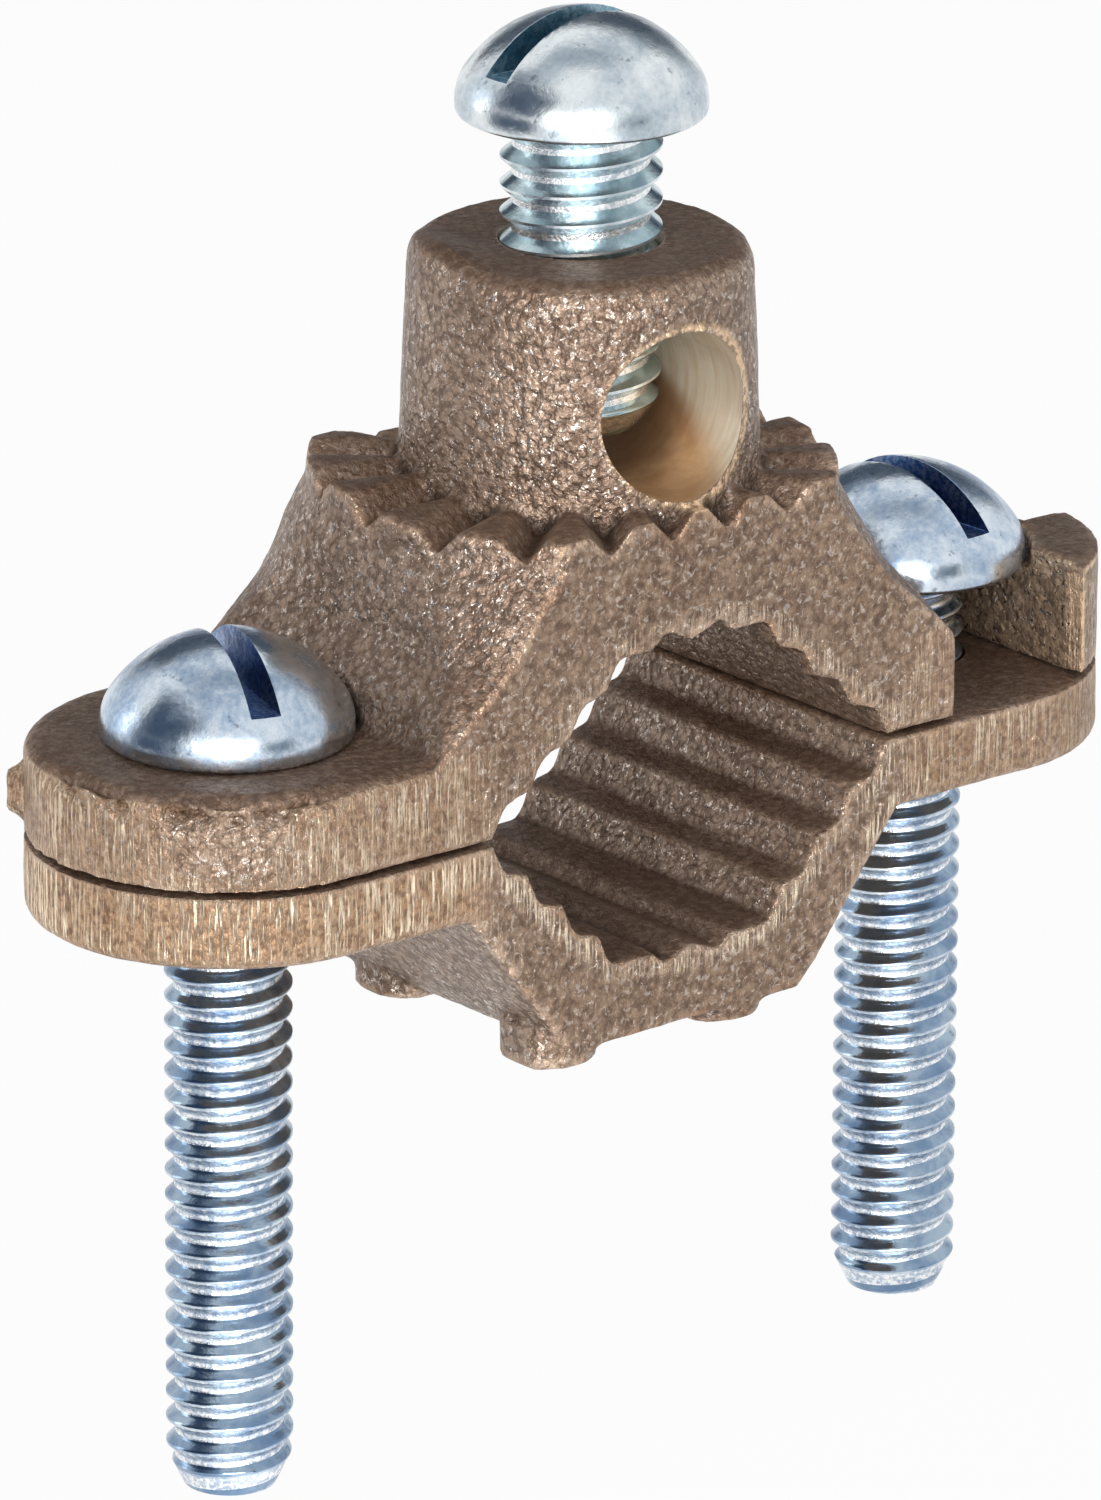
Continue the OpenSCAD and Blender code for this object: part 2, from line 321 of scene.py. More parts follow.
def floorWhite(values):
    material, tree = bareMaterial("floorWhite")
    coords = place(tree, "ShaderNodeTexCoord").outputs["Object"]
    turn = math.radians(photoCamera["yaw"])
    ahead = vectorCalc(tree, "DOT_PRODUCT", coords, (-math.sin(turn), -math.cos(turn), 0.0))
    aside = vectorCalc(tree, "DOT_PRODUCT", coords, (-math.cos(turn), math.sin(turn), 0.0))
    near, far = values["poolReach"]
    spread = calc(tree, "DIVIDE", absolute(tree, aside), total(tree, absolute(tree, ahead), near))
    pool = product(tree, ramp(tree, spread, *values["poolSpread"]),
                   ramp(tree, ahead, 0.0, near), ramp(tree, ahead, far, far / 2))
    rays, seen = seenRays(tree)
    extra = product(tree, pool, values["pool"], rays["Is Glossy Ray"])
    matte = place(tree, "ShaderNodeBsdfDiffuse", {"Color": (*[values["floorTone"]] * 3, 1.0)})
    white = place(tree, "ShaderNodeEmission", {
        "Color": (1.0, 1.0, 1.0, 1.0), "Strength": total(tree, extra, 1.0)})
    mixSurfaces(tree, product(tree, seen, values["floorGlow"]), matte, white)
    return material


def softPanel(name, width, height, tint, soft):
    bm = bmesh.new()
    bmesh.ops.create_grid(bm, x_segments=studio["panelSteps"], y_segments=studio["panelSteps"], size=0.5)
    fade = bm.verts.layers.float.new("fade")
    for vert in bm.verts:
        inside = [min(1.0, (1 - 2 * abs(c)) / soft) for c in vert.co.xy]
        vert[fade] = math.prod(c * c * (3 - 2 * c) for c in inside)
    bmesh.ops.scale(bm, verts=bm.verts, vec=(width, height, 1))
    material, tree = bareMaterial(name)
    shade = place(tree, "ShaderNodeEmission", {"Color": (*tint, 1.0), "Strength": 1.0})
    mixSurfaces(tree, readMask(tree, "fade"), place(tree, "ShaderNodeBsdfTransparent"), shade)
    return toMesh(bm, name, material)


def buildStudio(values):
    world = bpy.data.worlds.new("whiteSurround")
    scene.world = world
    world.use_nodes = True
    tree = world.node_tree
    tree.nodes.clear()
    strength = ramp(tree, seenRays(tree)[1], 0.0, 1.0, values["fill"], 1.0)
    white = place(tree, "ShaderNodeBackground", {"Color": (1.0, 1.0, 1.0, 1.0), "Strength": strength})
    place(tree, "ShaderNodeOutputWorld", {"Surface": white.outputs[0]})

    bm = bmesh.new()
    bmesh.ops.create_grid(bm, x_segments=1, y_segments=1, size=values["floorSize"] / 2)
    bmesh.ops.translate(bm, verts=bm.verts, vec=(0, 0, cadBox[0][2] - values["floorDrop"] * mm))
    newObject("studioFloor", toMesh(bm, "studioFloor", floorWhite(values)))

    for name, (side, up, far, width, height, radiance, tint, onMatte, inMetal) in values["lamps"].items():
        lamp = bpy.data.lights.new(name, "AREA")
        lamp.shape = "RECTANGLE"
        lamp.size, lamp.size_y = width, height
        lamp.energy = radiance * math.pi * width * height
        lamp.color = tint
        obj = newObject(name, lamp)
        obj.matrix_world = facing(side, up, far)
        obj.visible_camera = False
        obj.visible_diffuse = onMatte
        obj.visible_glossy = inMetal

    for name, (side, up, far, width, height, tint, soft) in values["panels"].items():
        panel = newObject(name, softPanel(name, width, height, tint, soft))
        panel.data.transform(facing(side, up, far))
        panel.visible_camera = False
        panel.visible_diffuse = False
        panel.visible_shadow = False
        panel.visible_transmission = False


buildStudio(studio)
print("studio built")


# Finishes: tones, the share of each tone where its mark is full, and grain per metre. Some tones below are
# painted shade and painted highlights, marked where they stand

castFinish = {
    "mottle": (5.0, 0.6),    # mm, patches and specks
    "tones": {
        "patches": ((0.225, 0.148, 0.106), (0.37, 0.262, 0.195)),
        "specks": (0.48, 0.365, 0.285),
        "crevice": (0.085, 0.052, 0.036),
        "sawn": ((0.145, 0.090, 0.060), (0.38, 0.256, 0.172)),
        "filed": ((0.25, 0.143, 0.080), (0.55, 0.350, 0.208)),
        # painted shade: the up-facing tops are darkened
        "topShade": (0.120, 0.066, 0.040),
        "scratch": (1.0, 0.84, 0.64),
        "glint": (0.82, 0.73, 0.66),
        "worn": ((0.41, 0.255, 0.165), (0.62, 0.47, 0.355)),
        "burrAndNoseLight": (0.84, 0.60, 0.39),
        "hollow": (0.045, 0.028, 0.020),
    },
    "shares": {"specks": 0.45, "crevice": 0.6, "sawn": 0.55, "filed": 0.8, "topShade": 0.6,
               "glint": 0.5, "hollow": 0.8},
    "pebbles": 2400.0,
    "pebbleBend": 0.0005,    # m
    "grit": 2600.0,
    "glints": 2900.0,
    "scuffs": 260.0,
    "scratches": (7600, 7600, 420),
    "metal": (0.6, 1.0),     # between and on the glints
    "rough": (0.36, 0.18),
    "specular": 0.2,
    "bump": (0.75, 0.00026),
}

drilledFinish = {
    "mottle": (2.4, 0.5),
    "tones": {
        "wall": ((0.70, 0.57, 0.41), (0.82, 0.73, 0.60)),
        "low": ((0.47, 0.245, 0.105), (0.70, 0.44, 0.225)),
        # painted shade deep inside the bore
        "deepShade": (0.20, 0.105, 0.05),
    },
    "shares": {"low": 0.9, "deepShade": 0.75},
    "rings": (240, 2600, 240),
    "lowEdge": (0.0192, 0.0176, 0.43),  # m, m, and how much lower for each metre from the middle
    "deepShadeEdge": (0.006, 0.002),         # m from the middle
    "metal": 0.4,
    "rough": (0.42, 0.28),
    "bump": (0.4, 0.00006),
}

zincFinish = {
    "mottle": (2.4, 0.3),
    # root is a painted highlight on the thread roots and lower flanks
    "tones": {"specks": (0.90, 0.94, 0.97), "stain": (0.11, 0.15, 0.21), "root": (0.96, 0.97, 0.98)},
    "shares": {"specks": 0.25, "stain": 0.6},
    "stains": 1500.0,
    "pits": 5200.0,
    "waves": 900.0,
    "bump": (0.35, 0.00008),
    "plates": {              # dull and bright, the same on the threads' upper flanks (darker and bluer there, a painted reflection of the dark surround), roughness
        "blueZinc": (((0.27, 0.38, 0.53), (0.63, 0.71, 0.79)),
                     ((0.15, 0.24, 0.38), (0.36, 0.46, 0.56)), (0.32, 0.18)),
        "paleZinc": (((0.44, 0.52, 0.58), (0.76, 0.81, 0.83)),
                     ((0.32, 0.45, 0.50), (0.54, 0.66, 0.69)), (0.32, 0.18)),
        # the slot plates are darker copies of the plates: painted shade in the slots
        "shadedSlotBlue": (((0.02, 0.065, 0.20), (0.05, 0.15, 0.36)),
                     ((0.02, 0.065, 0.20), (0.05, 0.15, 0.36)), (0.4, 0.25)),
        "shadedSlotTeal": (((0.06, 0.16, 0.23), (0.16, 0.33, 0.42)),
                     ((0.06, 0.16, 0.23), (0.16, 0.33, 0.42)), (0.4, 0.25)),
    },
}


def mottleGroup():
    tree, takes, gives = newTree("surfaceMottle", "ShaderNodeTree", {
        "Vector": ("Vector",), "Float": ("Patch Size", "Speck Size")}, {"Float": ("Patches", "Specks")})
    patch = noiseOfSize(tree, takes["Vector"], takes["Patch Size"], 4.0, 0.6, 0.4)
    speck = noiseOfSize(tree, takes["Vector"], takes["Speck Size"], 3.0, 0.65)
    feed(tree, gives["Patches"], ramp(tree, patch, 0.32, 0.68))
    feed(tree, gives["Specks"], ramp(tree, speck, 0.36, 0.66))
    return tree


mottle = mottleGroup()


def principled(name):
    material = bpy.data.materials.new(name)
    material.use_nodes = True
    tree = material.node_tree
    shader = tree.nodes["Principled BSDF"]
    coords = place(tree, "ShaderNodeTexCoord").outputs["Object"]
    return material, tree, shader.inputs, coords


def useMottle(tree, coords, patchSize, speckSize):
    node = place(tree, "ShaderNodeGroup")
    node.node_tree = mottle
    feed(tree, node.inputs["Vector"], coords)
    node.inputs["Patch Size"].default_value = patchSize * mm
    node.inputs["Speck Size"].default_value = speckSize * mm
    return node.outputs["Patches"], node.outputs["Specks"]


def addBump(tree, shader, height, strength, distance):
    bump = place(tree, "ShaderNodeBump", {"Strength": strength, "Distance": distance, "Height": height})
    feed(tree, shader["Normal"], bump.outputs[0])


def castBronze(values):
    material, tree, shader, coords = principled("castBronze")
    tones, shares = values["tones"], values["shares"]
    patches, specks = useMottle(tree, coords, *values["mottle"])
    convex, filed, sawn, shorn, smoothShadedTop, rim = (readMask(tree, name) for name in (
        "convexity", "filed", "sawn", "shorn", "smoothShadedTop", "burrAndLitNose"))

    # Pebbled sand-cast grain
    swirl = place(tree, "ShaderNodeTexNoise", {
        "Vector": coords, "Scale": values["pebbles"], "Detail": 1.0}).outputs["Color"]
    bent = vectorCalc(tree, "ADD", coords, vectorCalc(tree, "MULTIPLY", swirl, (values["pebbleBend"],) * 3))
    cells = place(tree, "ShaderNodeTexVoronoi", {
        "Vector": bent, "Scale": values["pebbles"]}).outputs["Distance"]
    pebble = less(tree, 1.0, calc(tree, "POWER", cells, 2.0))
    grit = noise(tree, coords, values["grit"], 3.0, 0.6)
    crevice = ramp(tree, total(tree, cells, product(tree, grit, 0.5)), 0.55, 0.95)

    base = blendColor(tree, patches, *tones["patches"])
    base = tinted(tree, base, specks, shares["specks"], tones["specks"])
    base = tinted(tree, base, crevice, shares["crevice"], tones["crevice"])
    base = tinted(tree, base, sawn, shares["sawn"], blendColor(tree, specks, *tones["sawn"]))
    base = tinted(tree, base, filed, shares["filed"], blendColor(
        tree, ramp(tree, grit, 0.38, 0.60), *tones["filed"]))
    # Painted shade: the up-facing tops are darkened
    base = tinted(tree, base, smoothShadedTop, shares["topShade"], tones["topShade"])

    # Bright scratches run up the filed rims and the sheared tooth tips
    scratch = noise(tree, stretch(tree, coords, values["scratches"]), 1.0, 3.0, 0.7)
    sheared = largest(tree, filed, product(tree, sawn, shorn))
    scuffed = ramp(tree, noise(tree, coords, values["scuffs"], 1.0), 0.38, 0.52, 0.35, 1.0)
    scratch = product(tree, ramp(tree, scratch, 0.48, 0.60), sheared, scuffed)
    base = blendColor(tree, scratch, base, tones["scratch"])

    # Small bright facets glint on the pebbles, fewer where the skin is smooth
    smooth = largest(tree, smoothShadedTop, filed, product(tree, sawn, 0.3))
    grainy = ramp(tree, smooth, 0.0, 1.0, 1.0, 0.2)
    glint = ramp(tree, noise(tree, coords, values["glints"], 2.0, 0.6, 0.8), 0.54, 0.68)
    glint = product(tree, glint, grainy)
    base = tinted(tree, base, glint, shares["glint"], tones["glint"])

    # Worn edges turn orange and light, hollows stay dark
    worn = product(tree, ramp(tree, convex, 0.025, 0.13), ramp(tree, specks, 0.2, 0.8, 0.25, 0.85),
                   ramp(tree, smoothShadedTop, 0.2, 1.0, 1.0, 0.35))
    base = blendColor(tree, worn, base, blendColor(tree, patches, *tones["worn"]))
    # Burrs at the hole's mouth and on the nose's ridge, with painted light on the nose's inner face
    burrAndNoseLight = product(tree, rim, ramp(tree, specks, 0.1, 0.6, 0.35, 1.0))
    base = blendColor(tree, burrAndNoseLight, base, tones["burrAndNoseLight"])
    base = tinted(tree, base, ramp(tree, convex, -0.02, -0.16), shares["hollow"], tones["hollow"])
    feed(tree, shader["Base Color"], base)
    feed(tree, shader["Metallic"], ramp(tree, glint, 0.0, 1.0, *values["metal"]))
    shader["Specular IOR Level"].default_value = values["specular"]

    rough = total(tree, ramp(tree, glint, 0.0, 1.0, *values["rough"]), product(tree, smooth, 0.14))
    feed(tree, shader["Roughness"], less(tree, rough, product(tree, scratch, 0.12)))
    height = total(tree, product(tree, pebble, grainy, 0.5), grit, product(tree, scratch, 0.7))
    addBump(tree, shader, height, *values["bump"])
    return material


def drilledBronze(values):
    material, tree, shader, coords = principled("drilledBronze")
    tones, shares = values["tones"], values["shares"]
    patches, specks = useMottle(tree, coords, *values["mottle"])
    spot = split(tree, coords)
    rings = noise(tree, stretch(tree, coords, values["rings"]), 1.0, 3.0, 0.6)
    base = blendColor(tree, ramp(tree, rings, 0.3, 0.7), *tones["wall"])

    # The bore's floor is browner, and darkened towards the middle of the bore as painted shade
    clean, brown, slope = values["lowEdge"]
    outward = absolute(tree, spot["Y"])
    low = ramp(tree, total(tree, spot["Z"], product(tree, outward, slope)), clean, brown)
    base = tinted(tree, base, low, shares["low"], blendColor(tree, patches, *tones["low"]))
    # Painted shade: darker towards the middle of the bore
    deepShade = product(tree, low, ramp(tree, outward, *values["deepShadeEdge"]))
    base = tinted(tree, base, deepShade, shares["deepShade"], tones["deepShade"])
    feed(tree, shader["Base Color"], base)
    shader["Metallic"].default_value = values["metal"]
    feed(tree, shader["Roughness"], ramp(tree, specks, 0.0, 1.0, *values["rough"]))
    addBump(tree, shader, rings, *values["bump"])
    return material


def zincPlate(name, face, flankReflectionTones, roughness, values):
    material, tree, shader, coords = principled(name)
    tones, shares = values["tones"], values["shares"]
    patches, specks = useMottle(tree, coords, *values["mottle"])
    root, flank = (readMask(tree, mask) for mask in ("threadRoot", "threadFlank"))
    base = blendColor(tree, patches, *face)
    base = tinted(tree, base, specks, shares["specks"], tones["specks"])
    stain = ramp(tree, noise(tree, coords, values["stains"], 4.0, 0.7), 0.60, 0.70)
    base = tinted(tree, base, stain, shares["stain"], tones["stain"])
    # Painted reflection: the threads' upper flanks take darker, bluer tones
    base = blendColor(tree, flank, base, blendColor(tree, patches, *flankReflectionTones))
    # Painted highlight: the thread roots and lower flanks are whitened in speckles
    rootSheen = product(tree, root, ramp(tree, specks, 0.1, 0.9, 0.15, 0.95))
    base = blendColor(tree, rootSheen, base, tones["root"])
    feed(tree, shader["Base Color"], base)
    shader["Metallic"].default_value = 1.0
    rough = ramp(tree, patches, 0.0, 1.0, *roughness)
    feed(tree, shader["Roughness"], less(tree, rough, product(tree, flank, 0.08)))
    pits = noise(tree, coords, values["pits"], 3.0, 0.65)
    waves = noise(tree, coords, values["waves"], 2.0, 0.5)
    lumps = product(tree, total(tree, 0.3, product(tree, root, 1.6)), pits)
    addBump(tree, shader, total(tree, lumps, waves), *values["bump"])
    return material


bronze = castBronze(castFinish)
drilled = drilledBronze(drilledFinish)
zinc = {name: zincPlate(name, *plate, zincFinish) for name, plate in zincFinish["plates"].items()}
print("finishes made")


# The two castings: CAD form, tumbled edges, sand-cast skin, then drilled

castSkin = {
    "weld": 0.002,           # mm
    "voxel": 0.24,           # mm
    "tumble": 2,             # smoothing passes that round the edges
    "sharp": 38.0,           # degrees
    "Grain Size": 0.9,
    "Grain Height": 0.08,
    "Wave Size": 6.0,
    "Wave Height": 0.16,
    "Rim Draft": 0.10,       # how far the outline stands in
    "Ear Span": screwX,
    "Ear Radius": 9.8,
    "Wear Reach": 10,
    "Shear Reach": 14,
    "Shear Radius": 9.2,     # half height of the oval inside which the tooth tips are scratched
    "Chip From": 1.7,        # under the ear's top
    "Chip To": 0.4,
}

castMarks = {                # where a mark fades in, in mm or as a slope, then its ends if not 0 and 1
    "noseX": (22.0, 25.0),
    "noseZ": (0.0, 0.4),
    "rim": (0.8, 0.35),      # in from the outline
    "upright": (0.7, 0.4),
    "square": (0.6, 0.85),
    "earX": (11.5, 15.0),
    "earZ": (-0.6, 0.2),
    "spared": (4.6, 3.0),    # around the unfiled spot
    "filedX": (5.0, 20.0, 1.0, 0.6),
    # where the smoother tops with painted shade fade in
    "topShade": (0.35, 0.9),
    "topShadeZ": (6.0, 12.0, 0.85, 1.0),
    "sharpEdge": (0.03, 0.12),
    "nearEdge": (0.04, 0.20),
    "oval": (0.6, -0.6),     # out from the oval's edge
    "shornZ": (-1.0, 3.0, 1.0, 0.4),
    "mouth": (0.5, 0.1),     # out from the hole's edge
    "noseInner": (-0.2, -0.6, 0.0, 0.5),
    "noseEdge": (0.04, 0.12),
    "noseUpright": (0.5, 0.2),
    "draft": (1.2, 0.4),
    "chipRim": (1.4, 0.3),
    "chipX": (-20.0, -24.0),
    "chipY": (3.0, -1.0),
    "broken": (0.40, 0.60),
    "nub": (1.2, 0.7),
    "crownX": (-3.5, -7.0),
    "crownY": (-3.0, 2.0),
    "crownZ": (9.6, 11.2),
}

hubPiece = {
    "lugProfile": ((0.0, 12.6), (8.83, 12.6), (8.36, 23.9), (8.1, 24.8), (7.5, 25.2), (0.0, 25.25)),
    "wireHole": (4.15, 18.35, -4.0, 12.0),   # radius, height of its axis, turn about the lug, reach
    "tapHole": (4.0, 18.5, 26.0),            # radius, bottom, top
    "skin": {
        "Ear Low": 0.0, "Ear High": 4.6, "Filing": 0.6, "Hole X": 0.2,
        "Chip Depth": 0.9, "Nub": (-28.74, 6.26, 1.8), "Nub Height": 0.8,
        "Unfiled": (-27.5, -7.6, 2.9), "Crown Lift": 0.6,
    },
}

jawPiece = {
    "plug": (5.0, -3.9, -0.2),               # radius, bottom, top
    "tapHole": (3.22, -6.0, 2.0),
    "skin": {                                # what the jaw lacks is put far away
        "Ear Low": -4.0, "Ear High": -0.12, "Filing": 1.0,
        "Hole Radius": 0.0, "Hole Rise": 500.0, "Hole X": 0.0,
        "Chip Depth": 0.0, "Nub": (0.0, 0.0, 500.0), "Nub Height": 0.0,
        "Unfiled": (0.0, 0.0, 500.0), "Crown Lift": 0.0,
    },
}


def skinTree():
    tree, takes, gives = newTree("castSkin", "GeometryNodeTree", {
        "Geometry": ("Geometry",),
        "Float": ("Grain Size", "Grain Height", "Wave Size", "Wave Height", "Rim Draft", "Ear Span",
                  "Ear Radius", "Ear Low", "Ear High", "Filing", "Hole Radius", "Hole Rise", "Hole X",
                  "Chip Depth", "Chip From", "Chip To", "Nub Height", "Shear Radius", "Crown Lift"),
        "Vector": ("Nub", "Unfiled"),
        "Int": ("Wear Reach", "Shear Reach"),
        "Material": ("Material",)}, {"Geometry": ("Geometry",)})

    def mark(name, value):
        return ramp(tree, value, *castMarks[name])

    at = place(tree, "GeometryNodeInputPosition").outputs[0]
    out = place(tree, "GeometryNodeInputNormal").outputs[0]
    spot = split(tree, at)
    lean = split(tree, out)
    steep = absolute(tree, lean["Z"])

    # How far each point stands out from its surroundings
    smoothAt = blurred(tree, at, takes["Wear Reach"], "FLOAT_VECTOR")
    convex = vectorCalc(tree, "DOT_PRODUCT", out, vectorCalc(tree, "SUBTRACT", at, smoothAt))

    # The ears' rims were filed, the flat front and back were sawn
    wide = absolute(tree, spot["X"])
    past = largest(tree, less(tree, wide, takes["Ear Span"]), 0.0)
    inset = less(tree, takes["Ear Radius"], hypotenuse(tree, past, spot["Y"]))
    nose = product(tree, mark("noseX", spot["X"]), mark("noseZ", spot["Z"]))
    deeper = ramp(tree, nose, 0.0, 1.0, 1.0, 1.8)
    wall = product(tree, mark("rim", calc(tree, "DIVIDE", inset, deeper)), mark("upright", steep))
    onEar = product(tree, mark("earX", wide), mark("earZ", less(tree, takes["Ear High"], spot["Z"])),
                    mark("earZ", less(tree, spot["Z"], takes["Ear Low"])))
    rim = product(tree, wall, onEar)
    sawn = product(tree, less(tree, wall, rim), mark("square", absolute(tree, lean["Y"])))
    spared = stretchedLength(tree, vectorCalc(tree, "SUBTRACT", at, takes["Unfiled"]), (0.75, 0.75, 0.9))
    ragged = product(tree, noise(tree, at, 0.7, 2.0, 0.6), 3.0)
    spared = mark("spared", total(tree, spared, ragged))
    filing = product(tree, takes["Filing"], mark("filedX", spot["X"]))
    filed = product(tree, rim, filing, ramp(tree, spared, 0.0, 1.0, 1.0, 0.2))
    # Up-facing faces high on the part: a smoother skin, and painted shade on their colour in castBronze
    smoothShadedTop = product(tree, mark("topShade", lean["Z"]), mark("topShadeZ", spot["Z"]))

    # Scratches reach a little way in from the sheared edges
    nearEdge = blurred(tree, mark("sharpEdge", convex), takes["Shear Reach"], "FLOAT")
    fromPipe = stretchedLength(tree, at, (0.62, 0.0, 1.0))
    inOval = mark("oval", less(tree, fromPipe, takes["Shear Radius"]))
    shorn = product(tree, mark("nearEdge", nearEdge), inOval, mark("shornZ", spot["Z"]))

    # The drilled hole's mouth is burred and the nose's front ridge is rubbed bright; the nose's inner face
    # is lightened as painted light
    fromHole = hypotenuse(tree, less(tree, spot["X"], takes["Hole X"]),
                          less(tree, spot["Z"], takes["Hole Rise"]))
    mouth = product(tree, mark("mouth", less(tree, fromHole, takes["Hole Radius"])),
                    calc(tree, "GREATER_THAN", absolute(tree, spot["Y"]), 3.0))
    # Painted light: the nose's inner face is lightened
    litNoseFace = product(tree, nose, mark("noseInner", lean["X"]))
    ridge = product(tree, nose, mark("noseEdge", convex), mark("noseUpright", steep))
    geometry = storeMasks(tree, takes["Geometry"], {
        "convexity": convex, "filed": filed, "sawn": sawn, "shorn": shorn, "smoothShadedTop": smoothShadedTop,
        "burrAndLitNose": largest(tree, mouth, litNoseFace, ridge)}, "POINT")

    # Cast skin: grain and waves, a chipped edge on the left ear and a gate nub beside it
    grain = noiseOfSize(tree, at, takes["Grain Size"], 2.0, 0.5)
    wave = noiseOfSize(tree, at, takes["Wave Size"], 1.0, 0.5)
    lift = total(tree, product(tree, less(tree, grain, 0.5), takes["Grain Height"]),
                 product(tree, less(tree, wave, 0.5), takes["Wave Height"]))
    lift = less(tree, lift, product(tree, mark("draft", inset), takes["Rim Draft"]))
    topEdge = ramp(tree, spot["Z"], less(tree, takes["Ear High"], takes["Chip From"]),
                   less(tree, takes["Ear High"], takes["Chip To"]))
    broken = mark("broken", noise(tree, at, 0.42, 2.0, 0.6))
    chip = product(tree, topEdge, mark("chipRim", inset), mark("chipX", spot["X"]),
                   mark("chipY", spot["Y"]), broken, takes["Chip Depth"])
    fromNub = stretchedLength(tree, vectorCalc(tree, "SUBTRACT", at, takes["Nub"]), (1.1, 1.1, 0.8))
    nub = product(tree, mark("nub", fromNub), takes["Nub Height"])
    dents = product(tree, less(tree, noise(tree, at, 1.0, 1.0, 0.5), 0.55), 0.4)
    dents = product(tree, calc(tree, "MINIMUM", dents, 0.05), spared)
    lift = total(tree, less(tree, total(tree, lift, dents), chip), nub)
    crown = product(tree, mark("crownX", spot["X"]), mark("crownY", spot["Y"]), mark("crownZ", spot["Z"]))
    raised = join(tree, Z=product(tree, crown, takes["Crown Lift"]))
    push = place(tree, "ShaderNodeVectorMath", {0: out, "Scale": lift}, operation="SCALE").outputs[0]
    moved = place(tree, "GeometryNodeSetPosition", {
        "Geometry": geometry, "Offset": vectorCalc(tree, "ADD", push, raised)})
    feed(tree, gives["Geometry"], dress(tree, moved.outputs[0], takes["Material"]))
    return tree


def lathe(bm, profile, segments, axis=(0.0, 0.0)):
    rings = []
    for radius, height in profile:
        if radius < 1e-6:
            rings.append([bm.verts.new((axis[0], axis[1], height))])
            continue
        rings.append([bm.verts.new((axis[0] + radius * math.cos(math.tau * k / segments),
                                    axis[1] + radius * math.sin(math.tau * k / segments), height))
                      for k in range(segments)])
    for low, high in zip(rings, rings[1:]):
        for k in range(segments):
            after = (k + 1) % segments
            corners = [low[k % len(low)], low[after % len(low)],
                       high[after % len(high)], high[k % len(high)]]
            bm.faces.new([v for i, v in enumerate(corners) if v not in corners[:i]])


def rodProfile(radius, bottom, top):
    return (0.0, bottom), (radius, bottom), (radius, top), (0.0, top)


def drill(name, profile, turn):
    bm = bmesh.new()
    lathe(bm, profile, 96)
    bm.transform(turn)
    bmesh.ops.recalc_face_normals(bm, faces=bm.faces)
    return newObject(name, toMesh(bm, name, drilled))


def cut(obj, tool):
    modifier = obj.modifiers.new(tool.name, "BOOLEAN")
    modifier.operation = "DIFFERENCE"
    modifier.solver = "MANIFOLD"
    modifier.material_mode = "TRANSFER"
    modifier.object = tool


def castPiece(name, node, fillings, tools, marks):
    bm = bmesh.new()
    bm.from_mesh(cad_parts[node].data)
    bmesh.ops.scale(bm, verts=bm.verts, vec=(1 / mm, 1 / mm, 1 / mm))
    bmesh.ops.remove_doubles(bm, verts=bm.verts, dist=castSkin["weld"])
    for profile, segments, x in fillings:    # the holes are closed here and drilled after the skin
        lathe(bm, profile, segments, (x, 0.0))
    obj = newObject(name, toMesh(bm, name))
    blocks = obj.modifiers.new("voxels", "REMESH")
    blocks.mode = "VOXEL"
    blocks.voxel_size = castSkin["voxel"]
    blocks.use_smooth_shade = True
    tumble = obj.modifiers.new("tumble", "SMOOTH")
    tumble.factor = 0.5
    tumble.iterations = castSkin["tumble"]
    addTree(obj, skin, {**castSkin, **marks, "Material": bronze})
    for tool in tools:
        cut(obj, tool)
    obj.data = plainMesh(obj)
    for tool in tools:
        bpy.data.objects.remove(tool)
    obj.data.transform(Matrix.Scale(mm, 4))
    obj.data.set_sharp_from_angle(angle=math.radians(castSkin["sharp"]))
    print(name, len(obj.data.polygons), "faces", [m.name for m in obj.data.materials])
    return obj


def buildHub(values):
    radius, rise, turn, reach = values["wireHole"]
    acrossLug = (Matrix.Translation((lugX, 0, rise)) @ Matrix.Rotation(math.radians(turn), 4, "Z")
                 @ Matrix.Rotation(math.radians(90), 4, "X"))
    tools = [drill("wireDrill", rodProfile(radius, -reach, reach), acrossLug),
             drill("wireTap", rodProfile(*values["tapHole"]), Matrix.Translation((lugX, 0, 0)))]
    marks = {**values["skin"], "Hole Radius": radius, "Hole Rise": rise}
    return castPiece("hubCasting", "hub_casting", [(values["lugProfile"], 96, lugX)], tools, marks)


def buildJaw(values):
    sides = {"Left": -screwX, "Right": screwX}
    fillings = [(rodProfile(*values["plug"]), 64, x) for x in sides.values()]
    tools = [drill("jawTap" + label, rodProfile(*values["tapHole"]), Matrix.Translation((x, 0, 0)))
             for label, x in sides.items()]
    return castPiece("jawCasting", "lower_jaw", fillings, tools, values["skin"])


skin = skinTree()
hub = buildHub(hubPiece)
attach(hub, "hub")
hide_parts("hub_casting")

jaw = buildJaw(jawPiece)
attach(jaw, "jaw")
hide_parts("lower_jaw")
print("castings done")


# Slotted screws: a rolled thread from Geometry Nodes under a domed head

screwHead = {
    "radius": 6.1,
    "height": 5.1,
    "edge": 0.35,            # radius of the head's lower rim
    "rim": 0.65,
    "shoulder": 2.6,         # radius where the dome meets the rim
    "slotWidth": 1.5,
    "slotDepth": 2.6,
    "slotBevel": 0.09,
    "segments": 96,
    "edgeSteps": 5,
    "arcSteps": 12,
    "sharp": 48.0,           # degrees
}

clampThread = {
    "Crest Radius": 3.08,
    "Root Radius": 2.64,
    "Pitch": 1.27,
    "Length": 38.1,
    "Tip Radius": 2.25,
    "Tip Bevel": 1.7,
    "Steps": 56,
}

